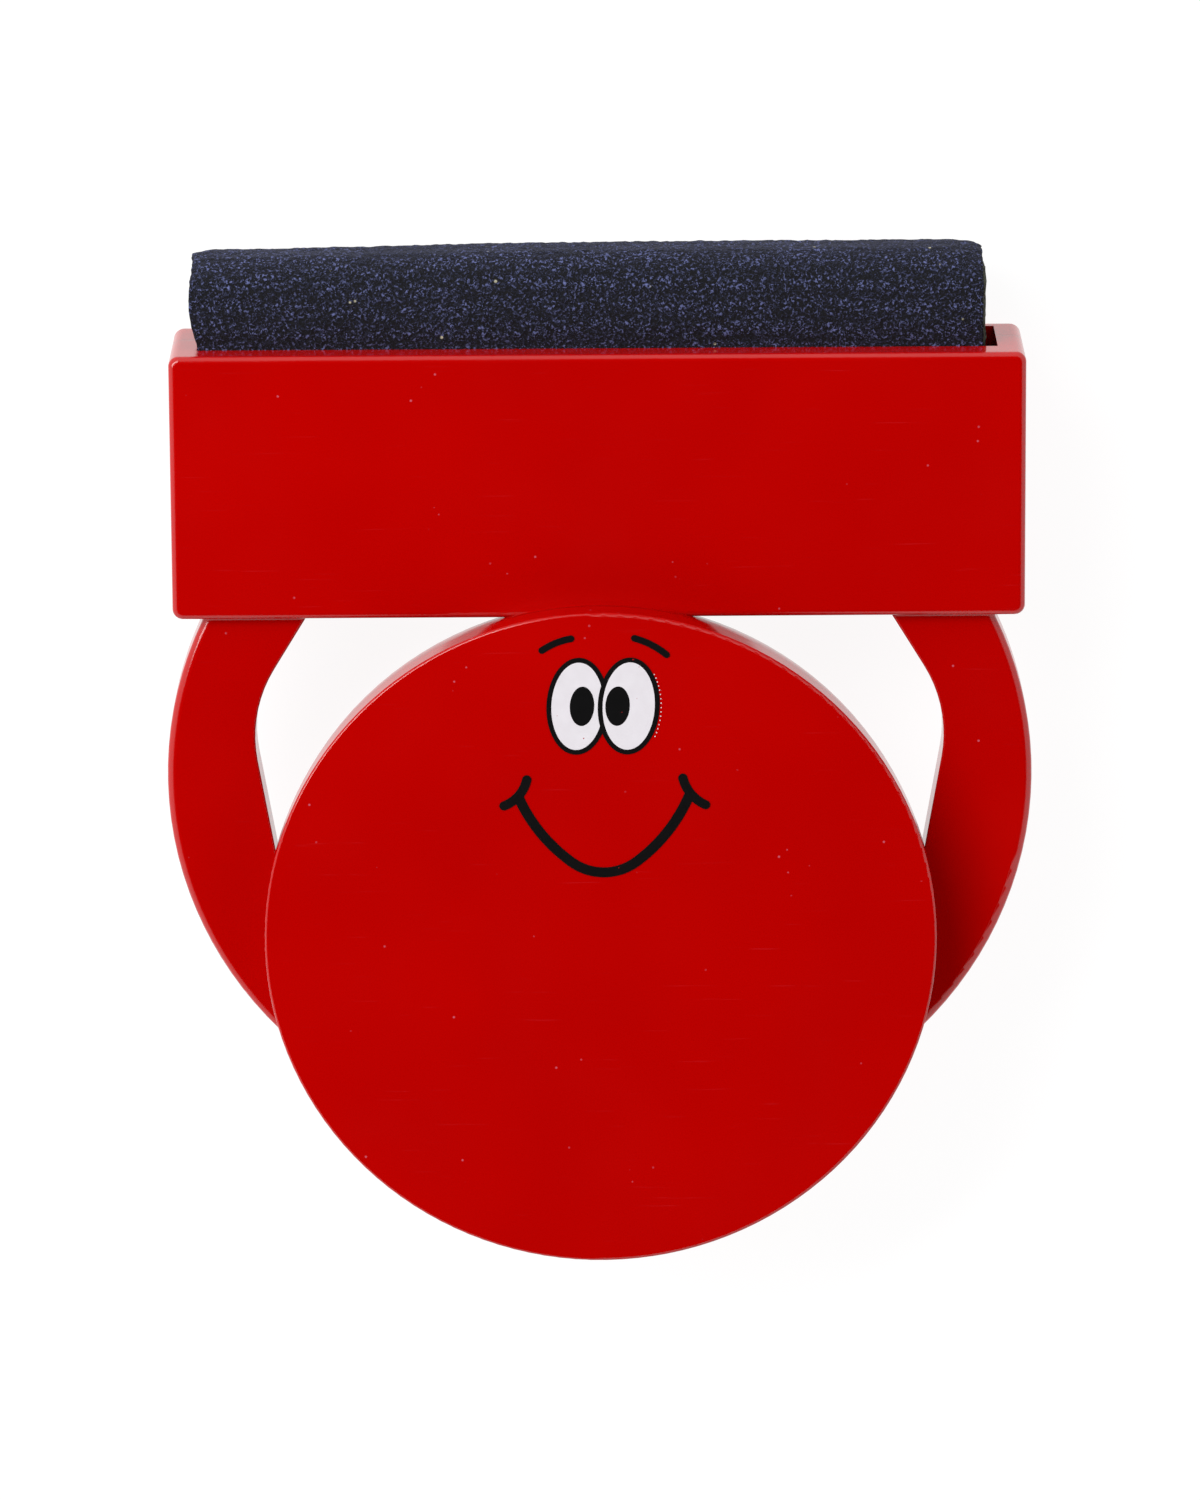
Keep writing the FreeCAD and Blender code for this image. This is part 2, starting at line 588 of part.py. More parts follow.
# Each line of the drawing is an arc or a curve through points given from the face's own
# centre line and the disc's middle.
BROWS = [
    [(-7.12, 35.2), (-5.8, 35.95), (-3.7, 36.6)],
    [(3.7, 36.6), (5.7, 35.8), (7.45, 34.6)],
]
CHEEK_MARKS = [
    [(-9.0, 19.6), (-9.9, 17.75), (-11.7, 16.45)],
    [(9.3, 19.7), (10.15, 17.9), (11.95, 16.45)],
]


def ellipse_film(name, along_x, half_width, half_height):
    """An elliptical film of ink that stands upright and leans with the eyes."""
    rim = document.addObject("Part::Ellipse", f"{name}_rim")
    bind(rim, "MajorRadius", half_height)
    bind(rim, "MinorRadius", half_width)
    bind(rim, "Placement.Base.x", along_x)
    bind(rim, "Placement.Base.y", "eye_y")
    bind(rim, "Placement.Base.z", FACE)
    rim.Placement.Rotation = FreeCAD.Rotation(FreeCAD.Vector(0, 0, 1), 90)
    bind(rim, "Placement.Rotation.Angle", "90 - eye_tilt")
    return film(name, rim)


def film(name, outline):
    """One thickness of ink on a closed outline."""
    layer = document.addObject("Part::Extrusion", name)
    layer.Base = outline
    layer.DirMode = "Custom"
    layer.Dir = (0, 0, 1)
    layer.Solid = True
    bind(layer, "LengthFwd", "ink")
    document.recompute()
    return layer


def stroke(name, arcs, line_width):
    """A round-ended line of ink along arcs drawn on the face."""
    path = document.addObject("Part::Feature", f"{name}_path")
    path.Shape = Part.Wire([arc.toShape() for arc in arcs])
    bind(path, "Placement.Base.x", "face_x")
    bind(path, "Placement.Base.z", FACE)
    edge = document.addObject("Part::Offset2D", f"{name}_edge")
    edge.Source = path
    edge.Join = "Arc"
    bind(edge, "Value", f"{line_width} / 2")
    document.recompute()
    return film(name, edge)


def arc_through(points):
    return [Part.Arc(*[FreeCAD.Vector(x, y, 0) for x, y in points])]


def bent(start, heading, radius, turn):
    """An arc that leaves a point at a heading and turns left by an angle, both in degrees."""
    def to(angle):
        return FreeCAD.Vector(math.sin(math.radians(angle)), -math.cos(math.radians(angle)), 0)
    middle = start - to(heading) * radius
    return Part.Arc(start, middle + to(heading + turn / 2) * radius,
                    middle + to(heading + turn) * radius)


def smile_arcs():
    """A tight arc along the bottom of the smile, and a wider arc up to each corner."""
    low_radius = value("smile_low_radius")
    side_radius = value("smile_side_radius")
    low_turn = value("smile_low_turn")
    side_turn = value("smile_side_turn")
    low_point = FreeCAD.Vector(0, value("smile_low"), 0)
    right = bent(low_point, 0, low_radius, low_turn)
    left = bent(low_point, 0, low_radius, -low_turn)
    right_side = bent(right.toShape().Vertexes[-1].Point, low_turn, side_radius, side_turn)
    left_side = bent(left.toShape().Vertexes[-1].Point, -low_turn, side_radius, -side_turn)
    return [right, left, right_side, left_side]


def minus(name, base, tool):
    cut = document.addObject("Part::Cut", name)
    cut.Base = base
    cut.Tool = tool
    return cut


def joined(label, pieces):
    group = document.addObject("Part::MultiFuse", label)
    group.Label = label
    group.Shapes = pieces
    document.recompute()
    return group


def make_face_print():
    """White eyes, and black lines round and over them. The +X eye stands in front."""
    inner_width = "eye_half_width - eye_outline"
    inner_height = "eye_half_height - eye_outline"
    outer = {}
    white = {}
    pupil = {}
    for side, sign in (("left", "-"), ("right", "+")):
        place = f"face_x {sign} eye_spread"
        outer[side] = ellipse_film(f"{side}_eye", place, "eye_half_width", "eye_half_height")
        white[side] = ellipse_film(f"{side}_white", place, inner_width, inner_height)
        pupil[side] = ellipse_film(f"{side}_pupil", f"pupil_x {sign} pupil_spread",
                                   "pupil_half_width", "pupil_half_height")
    left_ring = minus("left_ring", outer["left"], white["left"])
    left_ring = minus("left_ring_behind", left_ring, outer["right"])
    right_ring = minus("right_ring", outer["right"], white["right"])
    left_white = minus("left_white_behind", white["left"], outer["right"])
    left_white = minus("left_white_open", left_white, pupil["left"])
    right_white = minus("right_white_open", white["right"], pupil["right"])
    whites = joined("eye_white_print", [left_white, right_white])

    lines = [left_ring, right_ring, pupil["left"], pupil["right"]]
    for number, points in enumerate(BROWS, start=1):
        lines.append(stroke(f"brow_{number}", arc_through(points), "brow_line"))
    for number, points in enumerate(CHEEK_MARKS, start=1):
        lines.append(stroke(f"cheek_{number}", arc_through(points), "cheek_line"))
    lines.append(stroke("smile", smile_arcs(), "smile_line"))
    return whites, joined("face_line_print", lines)


# ---------------------------------------------------------------- the whole eraser

pieces = [
    make_front_shell(),
    make_back_shell(),
    make_face_cap(),
    make_foam_core(),
    make_cloth_cover(),
    make_pad_base_strip(),
    *make_face_print(),
]
document.recompute()

for item in document.Objects:
    if "Invalid" in item.State or "Error" in item.State:
        raise RuntimeError(f"{item.Label} did not build: {item.State}")
for piece in pieces:
    if piece.Shape.isNull() or not piece.Shape.isValid():
        raise RuntimeError(f"{piece.Label} has no sound shape")

os.makedirs("parts", exist_ok=True)
for piece in pieces:
    piece.Shape.exportStep(f"parts/{piece.Label}.step")
    solids = len(piece.Shape.Solids)
    print(f"{piece.Label}: {solids} solid(s), {piece.Shape.Volume / 1000:.2f} cm3")
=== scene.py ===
# %% [markdown]
# # A chalkboard eraser with a printed face
# The object is a flat plastic toy-like eraser: a round lid with a face printed on it, two arms that
# reach up to a long trough, and a cloth-covered foam pad that is pushed into the trough.
# The hard parts already have their right shape in the CAD frame, so this script gives them their
# finish. The soft parts are made here, because cloth and foam need a shape that CAD doesn't give.

import math

import bmesh
import bpy
from mathutils import Matrix, Vector, noise


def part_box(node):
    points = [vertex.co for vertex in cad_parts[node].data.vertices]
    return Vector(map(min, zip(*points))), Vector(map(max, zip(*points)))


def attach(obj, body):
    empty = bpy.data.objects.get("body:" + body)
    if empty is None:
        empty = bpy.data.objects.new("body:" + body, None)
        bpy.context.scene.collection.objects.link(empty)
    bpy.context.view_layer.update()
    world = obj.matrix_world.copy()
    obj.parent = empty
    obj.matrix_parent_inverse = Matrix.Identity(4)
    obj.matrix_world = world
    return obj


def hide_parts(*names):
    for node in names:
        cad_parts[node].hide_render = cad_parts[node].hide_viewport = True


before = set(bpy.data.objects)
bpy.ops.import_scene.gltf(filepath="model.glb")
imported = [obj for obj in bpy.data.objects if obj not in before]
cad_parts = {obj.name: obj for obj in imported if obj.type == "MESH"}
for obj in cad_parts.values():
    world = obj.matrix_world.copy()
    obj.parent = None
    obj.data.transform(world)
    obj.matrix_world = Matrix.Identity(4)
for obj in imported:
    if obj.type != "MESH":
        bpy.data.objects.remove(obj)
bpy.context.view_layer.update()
scene = bpy.context.scene
MM = 0.001
print("nodes:", sorted(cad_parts))

# %% [markdown]
# ## Three small helpers
# Colours are written as sRGB hex, as on a paint card, and Blender's shaders want linear light, so one
# function turns them. Each pattern has a real size in millimetres, and a texture node's scale is the
# number of features in a metre, so another function turns that. Material nodes could each have a
# helper of their own, but one function that adds any node with its settings and its links is enough.

# %% Colour, pattern scale and nodes
def linear(code):
    parts = [int(code[i:i + 2], 16) / 255 for i in (1, 3, 5)]
    return (*[c / 12.92 if c <= 0.04045 else ((c + 0.055) / 1.055) ** 2.4 for c in parts], 1.0)


def per_metre(size_mm):
    return 1 / (size_mm * MM)


def add_node(tree, kind, settings, links):
    node = tree.nodes.new(kind)
    for key, setting in settings.items():
        if isinstance(key, int) or key in node.inputs:
            node.inputs[key].default_value = setting
        else:
            setattr(node, key, setting)
    for key, source in links.items():
        tree.links.new(source, node.inputs[key])
    return node


print("mid red, linear:", [round(c, 3) for c in linear("#A40000")])

# %% Start a material
# Each material starts from the principled shader, its roughness and its IOR, and reads the place on
# the object, which doesn't slide when a piece moves.
def start_material(name, roughness, ior):
    material = bpy.data.materials.new(name)
    material.use_nodes = True
    tree = material.node_tree
    shader = tree.nodes["Principled BSDF"]
    shader.inputs["Roughness"].default_value = roughness
    shader.inputs["IOR"].default_value = ior
    place = add_node(tree, "ShaderNodeTexCoord", {}, {}).outputs["Object"]
    return material, tree, shader, place


print("materials read Object coordinates, in metres")

# %% [markdown]
# ## Red moulded ABS
# The lid, the arms and the trough are injection-moulded ABS with a polished tool finish: a deep
# saturated red under a clear, slightly wavy gloss. Used plastic has three things that a plain red
# doesn't: fine scratches that run mostly one way, specks of chalk dust, and dark lines where the two
# halves meet and where the lid sits on its box. Noise stretched thirty times gives the scratches, the
# cells of a Voronoi pattern with a noise that hides most of them give the dust, and the height above
# the floor gives the lines.

# %% Gloss and colour of the plastic
red_abs, tree, shader, place = start_material("red_moulded_abs", 0.14, 1.49)
CAP_SIDE = 3.8 * MM
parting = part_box("front_shell")[0].z
cap_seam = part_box("face_cap")[1].z - CAP_SIDE
cloudy = add_node(tree, "ShaderNodeTexNoise", {"Scale": per_metre(22), "Detail": 2.0}, {"Vector": place})
red = add_node(tree, "ShaderNodeMix", {"data_type": "RGBA", 6: linear("#A30000"), 7: linear("#B00200")},
               {0: cloudy.outputs["Fac"]})
print("parting plane at", round(parting / MM, 2), "mm")

# %% Scratches, dust and the parting line
turned = add_node(tree, "ShaderNodeMapping", {"Rotation": (0, 0, math.radians(24)), "Scale": (1, 30, 1)},
                  {"Vector": place})
hair = add_node(tree, "ShaderNodeTexNoise", {"Scale": per_metre(9), "Detail": 3.0},
                {"Vector": turned.outputs[0]})
scratch = add_node(tree, "ShaderNodeMapRange", {"From Min": 0.68, "From Max": 0.80},
                   {"Value": hair.outputs["Fac"]})
speck = add_node(tree, "ShaderNodeTexVoronoi", {"Scale": per_metre(1.7)}, {"Vector": place})
dot = add_node(tree, "ShaderNodeMapRange", {"From Min": 0.10, "From Max": 0.05},
               {"Value": speck.outputs["Distance"]})
patchy = add_node(tree, "ShaderNodeTexNoise", {"Scale": per_metre(6), "Detail": 2.0}, {"Vector": place})
where = add_node(tree, "ShaderNodeMapRange", {"From Min": 0.60, "From Max": 0.64},
                 {"Value": patchy.outputs["Fac"]})
dust = add_node(tree, "ShaderNodeMath", {"operation": "MULTIPLY"}, {0: dot.outputs[0], 1: where.outputs[0]})
height = add_node(tree, "ShaderNodeSeparateXYZ", {}, {0: place})
off_line = add_node(tree, "ShaderNodeMath", {"operation": "SUBTRACT", 1: parting}, {0: height.outputs["Z"]})
near_line = add_node(tree, "ShaderNodeMath", {"operation": "ABSOLUTE"}, {0: off_line.outputs[0]})
off_cap = add_node(tree, "ShaderNodeMath", {"operation": "SUBTRACT", 1: cap_seam}, {0: height.outputs["Z"]})
near_cap = add_node(tree, "ShaderNodeMath", {"operation": "ABSOLUTE"}, {0: off_cap.outputs[0]})
nearer = add_node(tree, "ShaderNodeMath", {"operation": "MINIMUM"},
                  {0: near_line.outputs[0], 1: near_cap.outputs[0]})
line = add_node(tree, "ShaderNodeMapRange", {"From Min": 0.18 * MM, "From Max": 0.07 * MM},
                {"Value": nearer.outputs[0]})
lined = add_node(tree, "ShaderNodeMix", {"data_type": "RGBA", 7: linear("#5A0000")},
                 {0: line.outputs[0], 6: red.outputs[2]})
scratched = add_node(tree, "ShaderNodeMath", {"operation": "MULTIPLY", 1: 0.07}, {0: scratch.outputs[0]})
worn = add_node(tree, "ShaderNodeMix", {"data_type": "RGBA", 7: linear("#C04858")},
                {0: scratched.outputs[0], 6: lined.outputs[2]})
dusty = add_node(tree, "ShaderNodeMix", {"data_type": "RGBA", 7: linear("#B85060")},
                 {0: dust.outputs[0], 6: worn.outputs[2]})
tree.links.new(dusty.outputs[2], shader.inputs["Base Color"])

# %% Roughness and relief of the plastic
handled = add_node(tree, "ShaderNodeTexNoise", {"Scale": per_metre(14), "Detail": 4.0}, {"Vector": place})
gloss = add_node(tree, "ShaderNodeMapRange",
                 {"From Min": 0.3, "From Max": 0.75, "To Min": 0.11, "To Max": 0.2},
                 {"Value": handled.outputs["Fac"]})
rough = add_node(tree, "ShaderNodeMath", {"operation": "MULTIPLY_ADD", 1: 0.3},
                 {0: scratched.outputs[0], 2: gloss.outputs[0]})
tree.links.new(rough.outputs[0], shader.inputs["Roughness"])
wavy = add_node(tree, "ShaderNodeTexNoise", {"Scale": per_metre(3.5), "Detail": 1.0}, {"Vector": place})
relief = add_node(tree, "ShaderNodeMath", {"operation": "SUBTRACT"},
                  {0: wavy.outputs["Fac"], 1: line.outputs[0]})
bump = add_node(tree, "ShaderNodeBump", {"Strength": 0.12, "Distance": 0.05 * MM},
                {"Height": relief.outputs[0]})
tree.links.new(bump.outputs[0], shader.inputs["Normal"])
print("red_moulded_abs:", len(tree.nodes), "nodes")

# %% [markdown]
# ## Printed inks
# The face is pad printing: two thin films of ink, white for the eyes and black for the lines. Pad ink
# is a little duller than the plastic, and it has pin-holes and a slightly uneven edge and thickness.
# A noise with a high threshold gives the pin-holes, and they show the red below.

# %% White and black ink
def printed_ink(name, low, high, hole_from):
    material, tree, shader, place = start_material(name, 0.32, 1.5)
    film = add_node(tree, "ShaderNodeTexNoise", {"Scale": per_metre(1.6), "Detail": 3.0}, {"Vector": place})
    tone = add_node(tree, "ShaderNodeMix", {"data_type": "RGBA", 6: linear(low), 7: linear(high)},
                    {0: film.outputs["Fac"]})
    fine = add_node(tree, "ShaderNodeTexNoise", {"Scale": per_metre(0.45), "Detail": 1.0},
                    {"Vector": place})
    hole = add_node(tree, "ShaderNodeMapRange", {"From Min": hole_from, "From Max": hole_from + 0.03},
                    {"Value": fine.outputs["Fac"]})
    colour = add_node(tree, "ShaderNodeMix", {"data_type": "RGBA", 7: linear("#9A1418")},
                      {0: hole.outputs[0], 6: tone.outputs[2]})
    tree.links.new(colour.outputs[2], shader.inputs["Base Color"])
    bump = add_node(tree, "ShaderNodeBump", {"Strength": 0.15, "Distance": 0.03 * MM},
                    {"Height": film.outputs["Fac"]})
    tree.links.new(bump.outputs[0], shader.inputs["Normal"])
    return material


white_ink = printed_ink("white_pad_printing_ink", "#CEC9CE", "#DAD6DB", 0.80)
black_ink = printed_ink("black_pad_printing_ink", "#020202", "#080708", 0.80)
print("inks:", white_ink.name, black_ink.name)

# %% [markdown]
# ## Navy looped cloth
# The cover is a coarse looped cloth of dark navy yarn, like a short towelling: small curls half a
# millimetre across, set in loose wavy rows, with a few pale chalk specks. The base is nearly black and
# only the tops of the curls catch the light; that light is painted into the colour as a pale blue
# highlight, so two noises are mixed: one the size of a curl, and one finer for the fibres. The rows
# follow height and depth together, so they run round the pad's crown, and the hollows between them
# get painted shade.

# %% Cloth colour
navy_cloth, tree, shader, place = start_material("navy_looped_cloth", 0.85, 1.5)
curl = add_node(tree, "ShaderNodeTexNoise", {"Scale": per_metre(0.48), "Detail": 2.0, "Distortion": 0.6},
                {"Vector": place})
fibre = add_node(tree, "ShaderNodeTexNoise", {"Scale": per_metre(0.28), "Detail": 1.0, "Distortion": 0.8},
                 {"Vector": place})
# Painted highlight: the curl tops and fibres that catch the light are painted in the pale yarn colour.
lit_curl = add_node(tree, "ShaderNodeMapRange", {"From Min": 0.46, "From Max": 0.58},
                    {"Value": curl.outputs["Fac"]})
lit_fibre = add_node(tree, "ShaderNodeMapRange", {"From Min": 0.50, "From Max": 0.60},
                     {"Value": fibre.outputs["Fac"]})
tips = add_node(tree, "ShaderNodeMath", {"operation": "MULTIPLY"},
                {0: lit_curl.outputs[0], 1: lit_fibre.outputs[0]})
painted_tip_highlight = add_node(tree, "ShaderNodeMath", {"operation": "MULTIPLY_ADD", 1: 0.12},
                 {0: lit_fibre.outputs[0], 2: tips.outputs[0]})
rows = add_node(tree, "ShaderNodeTexWave",
                {"bands_direction": "Y", "Scale": per_metre(2.6) / 20 * 2 * math.pi, "Distortion": 5.0,
                 "Detail": 2.0, "Detail Scale": 0.6}, {"Vector": place})
# Painted shade: the hollows between the wavy rows are painted darker.
painted_row_shade = add_node(tree, "ShaderNodeMapRange",
                {"From Min": 0.15, "From Max": 0.75, "To Min": 0.55, "To Max": 1.0},
                {"Value": rows.outputs["Fac"]})
painted_light_amount = add_node(tree, "ShaderNodeMath", {"operation": "MULTIPLY"},
                 {0: painted_tip_highlight.outputs[0], 1: painted_row_shade.outputs[0]})
# Near-black yarn with a painted highlight on the lit curl tops, dimmed by the painted shade of the rows.
yarn_with_painted_light = add_node(tree, "ShaderNodeMix", {"data_type": "RGBA", 6: linear("#040408"), 7: linear("#5A618E")},
                {0: painted_light_amount.outputs[0]})
chalk = add_node(tree, "ShaderNodeTexVoronoi", {"Scale": per_metre(2.6)}, {"Vector": place})
crumb = add_node(tree, "ShaderNodeMapRange", {"From Min": 0.085, "From Max": 0.05},
                 {"Value": chalk.outputs["Distance"]})
spread = add_node(tree, "ShaderNodeTexNoise", {"Scale": per_metre(9), "Detail": 1.0}, {"Vector": place})
thin = add_node(tree, "ShaderNodeMapRange", {"From Min": 0.56, "From Max": 0.60},
                {"Value": spread.outputs["Fac"]})
speckled = add_node(tree, "ShaderNodeMath", {"operation": "MULTIPLY"},
                    {0: crumb.outputs[0], 1: thin.outputs[0]})
cloth = add_node(tree, "ShaderNodeMix", {"data_type": "RGBA", 7: linear("#B8B39A")},
                 {0: speckled.outputs[0], 6: yarn_with_painted_light.outputs[2]})
tree.links.new(cloth.outputs[2], shader.inputs["Base Color"])
print("cloth: curls", round(1 / curl.inputs["Scale"].default_value / MM, 2), "mm across")

# %% Cloth relief and sheen
loops = add_node(tree, "ShaderNodeMath", {"operation": "ADD"},
                 {0: curl.outputs["Fac"], 1: lit_fibre.outputs[0]})
bump = add_node(tree, "ShaderNodeBump", {"Strength": 0.9, "Distance": 0.35 * MM},
                {"Height": loops.outputs[0]})
tree.links.new(bump.outputs[0], shader.inputs["Normal"])
shader.inputs["Sheen Weight"].default_value = 0.12
shader.inputs["Sheen Roughness"].default_value = 0.5
shader.inputs["Sheen Tint"].default_value = linear("#8088C0")
shader.inputs["Specular IOR Level"].default_value = 0.25
print("navy_looped_cloth:", len(tree.nodes), "nodes")

# %% [markdown]
# ## Foam and base strip
# Inside the cover is a block of dark polyurethane foam, seen only at the two cut ends, where its open
# cells show. Voronoi cells of about half a millimetre give the pores, and the pore hollows are painted
# darker than the cell walls as painted shade. The strip under it is a stiff grey polypropylene sheet
# with a fine extruded grain along its length.

# %% Foam material
foam, tree, shader, place = start_material("dark_open_cell_foam", 0.95, 1.45)
pores = add_node(tree, "ShaderNodeTexVoronoi", {"Scale": per_metre(0.55)}, {"Vector": place})
wall = add_node(tree, "ShaderNodeMapRange", {"From Min": 0.2, "From Max": 0.6},
                {"Value": pores.outputs["Distance"]})
# Painted shade: the pore hollows are painted near black and the cell walls lighter.
tone = add_node(tree, "ShaderNodeMix", {"data_type": "RGBA", 6: linear("#0C0E0C"), 7: linear("#3A3C2E")},
                {0: wall.outputs[0]})
tree.links.new(tone.outputs[2], shader.inputs["Base Color"])
bump = add_node(tree, "ShaderNodeBump", {"Strength": 0.8, "Distance": 0.3 * MM},
                {"Height": wall.outputs[0]})
tree.links.new(bump.outputs[0], shader.inputs["Normal"])
print("dark_open_cell_foam:", len(tree.nodes), "nodes")

# %% Strip material
strip_plastic, tree, shader, place = start_material("grey_polypropylene_sheet", 0.45, 1.49)
along = add_node(tree, "ShaderNodeMapping", {"Scale": (0.04, 1, 1)}, {"Vector": place})
grain = add_node(tree, "ShaderNodeTexNoise", {"Scale": per_metre(0.5), "Detail": 2.0},
                 {"Vector": along.outputs[0]})
tone = add_node(tree, "ShaderNodeMix", {"data_type": "RGBA", 6: linear("#5C5E62"), 7: linear("#74767A")},
                {0: grain.outputs["Fac"]})
tree.links.new(tone.outputs[2], shader.inputs["Base Color"])
bump = add_node(tree, "ShaderNodeBump", {"Strength": 0.3, "Distance": 0.05 * MM},
                {"Height": grain.outputs["Fac"]})
tree.links.new(bump.outputs[0], shader.inputs["Normal"])
print("grey_polypropylene_sheet:", len(tree.nodes), "nodes")

# %% [markdown]
# ## Finishing the CAD pieces
# The plastic pieces, the strip and the ink films have their right shape already, so each keeps its CAD
# mesh and gets its material in the slot that it came with.

# %% Give the CAD pieces their finish
FINISHES = {
    "front_shell": red_abs, "back_shell": red_abs, "face_cap": red_abs,
    "eye_white_print": white_ink, "face_line_print": black_ink,
    "pad_base_strip": strip_plastic,
}
for name, material in FINISHES.items():
    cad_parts[name].material_slots[0].material = material
    print(name, "->", material.name)

# %% [markdown]
# ## The pad's cover
# On the real object a rectangle of looped cloth is folded over the foam like a blanket over a bench:
# down the front, over a rounded crown and down the back. Its two ends are cut and open. A plain box
# would look hard, so a closed box is blown up a little as cloth, which makes the faces belly out
# and softens the crown, and then the ends and the bottom are cut away and the sheet is given its
# thickness. Blender's cloth is tuned for things metres across, so it is done at twenty times size.

# %% A closed box with a rounded crown
CROWN = 2.6 * MM
CLOTH = 1.3 * MM
cover_low, cover_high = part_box("cloth_cover")
trough_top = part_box("back_shell")[1].y
SPARE_END = 5 * MM
SLACK = 0.15 * MM


def long_top_edges(mesh, level):
    return [e for e in mesh.edges if all(abs(v.co.y - level) < 0.01 * MM for v in e.verts)
            and abs(e.verts[0].co.x - e.verts[1].co.x) > 10 * MM]


def crowned_box(low, high, crown):
    mesh = bmesh.new()
    bmesh.ops.create_cube(mesh, size=1.0)
    bmesh.ops.scale(mesh, vec=high - low, verts=mesh.verts)
    bmesh.ops.translate(mesh, vec=(low + high) / 2, verts=mesh.verts)
    bmesh.ops.bevel(mesh, geom=long_top_edges(mesh, high.y), offset=crown, offset_type="OFFSET",
                    segments=6, profile=0.5, affect="EDGES", material=-1)
    return mesh


shape = crowned_box(cover_low + Vector((-SPARE_END, 0, SLACK)),
                    cover_high + Vector((SPARE_END, 0, -SLACK)), CROWN)
print("crowned box:", len(shape.faces), "faces")

# %% [markdown]
# ### From a mesh to a finished piece
# A bmesh becomes an object once its shape is done. A modifier could stay live on the piece, but later
# steps move single points, so each modifier is applied before the next step.

# %% Mesh and object helpers
def new_piece(name, mesh):
    data = bpy.data.meshes.new(name)
    mesh.to_mesh(data)
    mesh.free()
    piece = bpy.data.objects.new(name, data)
    scene.collection.objects.link(piece)
    return piece


def apply_modifiers(piece):
    bpy.context.view_layer.update()
    done = piece.evaluated_get(bpy.context.evaluated_depsgraph_get())
    piece.data = bpy.data.meshes.new_from_object(done)
    piece.modifiers.clear()


def remesh(piece, voxel):
    step = piece.modifiers.new("Remesh", "REMESH")
    step.mode = "VOXEL"
    step.voxel_size = voxel
    apply_modifiers(piece)
    print(piece.name, "remeshed to", len(piece.data.polygons), "faces")


# %% Blow it up as cloth
ENLARGE = 20
FRAMES = 20
COVER_VOXEL = 1.5 * MM
bmesh.ops.scale(shape, vec=Vector((ENLARGE,) * 3), verts=shape.verts)
cover = new_piece("looped_cloth_cover", shape)
remesh(cover, COVER_VOXEL * ENLARGE)
before = [v.co.copy() for v in cover.data.vertices]
blown = cover.modifiers.new("Cloth", "CLOTH")
blown.settings.quality = 5
blown.settings.use_pressure = True
blown.settings.uniform_pressure_force = 4
blown.settings.effector_weights.gravity = 0
blown.point_cache.frame_start = 1
blown.point_cache.frame_end = FRAMES
for moment in range(1, FRAMES + 1):
    scene.frame_set(moment)
apply_modifiers(cover)
scene.frame_set(1)
moves = [(v.co - was).length / ENLARGE / MM for v, was in zip(cover.data.vertices, before)]
print("cloth:", len(moves), "points, moved up to", round(max(moves), 2), "mm")

# %% [markdown]
# ### Held in the trough, free above it
# The trough holds the pad, so its lower part can't swell, and the part above may belly out by about
# half a millimetre. The pad is also not quite level: its top droops towards the left end.
# The droop is a few heights along the pad, joined by straight runs, and the foam inside follows them.

# %% Cap the swelling and shape the top
FREE_SWELL = 0.55 * MM
HELD_SWELL = 0.10 * MM
HELD_BELOW = trough_top - 1 * MM
FREE_ABOVE = trough_top + 3 * MM
# Each entry is a place along the pad and how far its top has sunk there, both in millimetres.
DROOP = [(-46.9, 1.5), (-46.3, 1.05), (-44.8, 0.8), (-23.0, 0.36), (-14.0, 0.16), (0.0, 0.05), (12.0, 0.0),
         (41.0, 0.0), (43.6, 0.15), (44.6, 0.45), (45.1, 1.1)]


def eased(low, high, at):
    t = min(max((at - low) / (high - low), 0), 1)
    return t * t * (3 - 2 * t)


def droop(x):
    for (left, drop_left), (right, drop_right) in zip(DROOP, DROOP[1:]):
        if x <= right * MM:
            t = min(max((x / MM - left) / (right - left), 0), 1)
            return (drop_left + t * (drop_right - drop_left)) * MM
    return DROOP[-1][1] * MM


def free_part(y):
    return eased(HELD_BELOW, FREE_ABOVE, y)


def settled(point):
    high = eased(trough_top, cover_high.y, point.y)
    return Vector((point.x, point.y - droop(point.x) * high, point.z))


for v, was in zip(cover.data.vertices, before):
    home = was / ENLARGE
    move = v.co / ENLARGE - home
    cap = HELD_SWELL + free_part(home.y) * (FREE_SWELL - HELD_SWELL)
    if move.length > cap:
        move *= cap / move.length
    v.co = home + move
top = max(v.co.y for v in cover.data.vertices)
for v in cover.data.vertices:
    if v.co.y > trough_top:
        v.co.y = trough_top + (v.co.y - trough_top) * (cover_high.y - trough_top) / (top - trough_top)
    v.co = settled(v.co)
print("top was", round(top / MM, 2), "mm, is", round(max(v.co.y for v in cover.data.vertices) / MM, 2))

# %% [markdown]
# ### Cut open
# The real cover is a folded sheet, so the closed shape loses both ends and its bottom. A cut that snaps
# to nearby points wanders by a quarter of a millimetre, as scissors do. A sheet with open edges can be
# turned inside out by Blender, so its front face is checked to look forward. The left end bows outward
# where nothing holds it.

